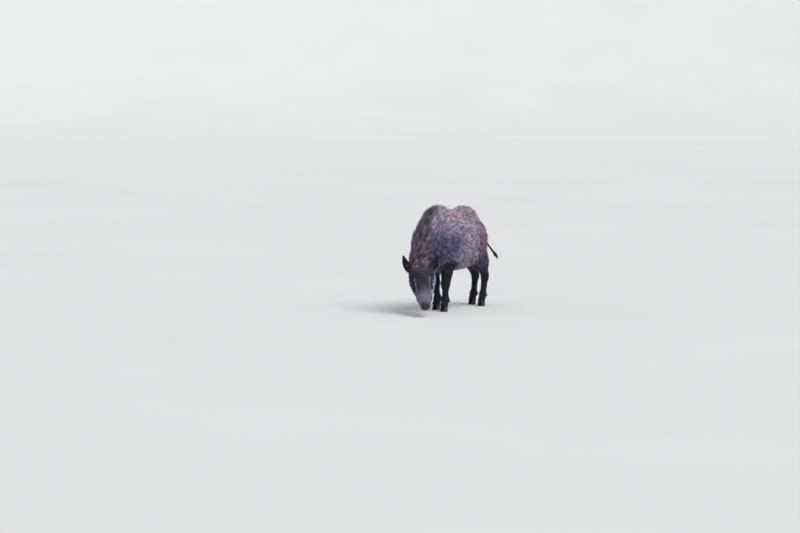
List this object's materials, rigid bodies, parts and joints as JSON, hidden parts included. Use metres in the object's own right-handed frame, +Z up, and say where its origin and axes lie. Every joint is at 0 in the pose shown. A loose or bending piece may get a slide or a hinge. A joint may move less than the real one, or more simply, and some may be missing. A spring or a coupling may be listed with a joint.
{
  "type": "wild boar",
  "caption": "Life-size still model of a young wild boar standing square, its head lowered and turned to the left as it grazes.",
  "frame": {"origin": "on the floor under the middle of the animal's outline", "axes": "+Z up, +X to the animal's left, -Y the way the trunk faces"},
  "size_m": [0.2938, 0.9124, 0.5802],
  "materials": {
    "coat": "coarse grizzled hair",
    "face_coat": "short dark hair",
    "leg_coat": "short blue-black hair",
    "snout": "bare moist skin",
    "eye": "glossy",
    "horn": "worn horn"
  },
  "bodies": {
    "root": {"claw_front_left_inner": "horn", "claw_front_left_outer": "horn", "claw_front_right_inner": "horn", "claw_front_right_outer": "horn", "claw_hind_left_inner": "horn", "claw_hind_left_outer": "horn", "claw_hind_right_inner": "horn", "claw_hind_right_outer": "horn", "dewclaw_front_left_inner": "horn", "dewclaw_front_left_outer": "horn", "dewclaw_front_right_inner": "horn", "dewclaw_front_right_outer": "horn", "dewclaw_hind_left_inner": "horn", "dewclaw_hind_left_outer": "horn", "dewclaw_hind_right_inner": "horn", "dewclaw_hind_right_outer": "horn", "ear_left": "face_coat", "ear_right": "face_coat", "eye_left": "eye", "eye_right": "eye", "foreleg_left": "leg_coat", "foreleg_right": "leg_coat", "head": "face_coat", "hindleg_left": "leg_coat", "hindleg_right": "leg_coat", "neck": "coat", "snout_disc": "snout", "tail": "coat", "trunk": "coat"}
  },
  "joints": []
}
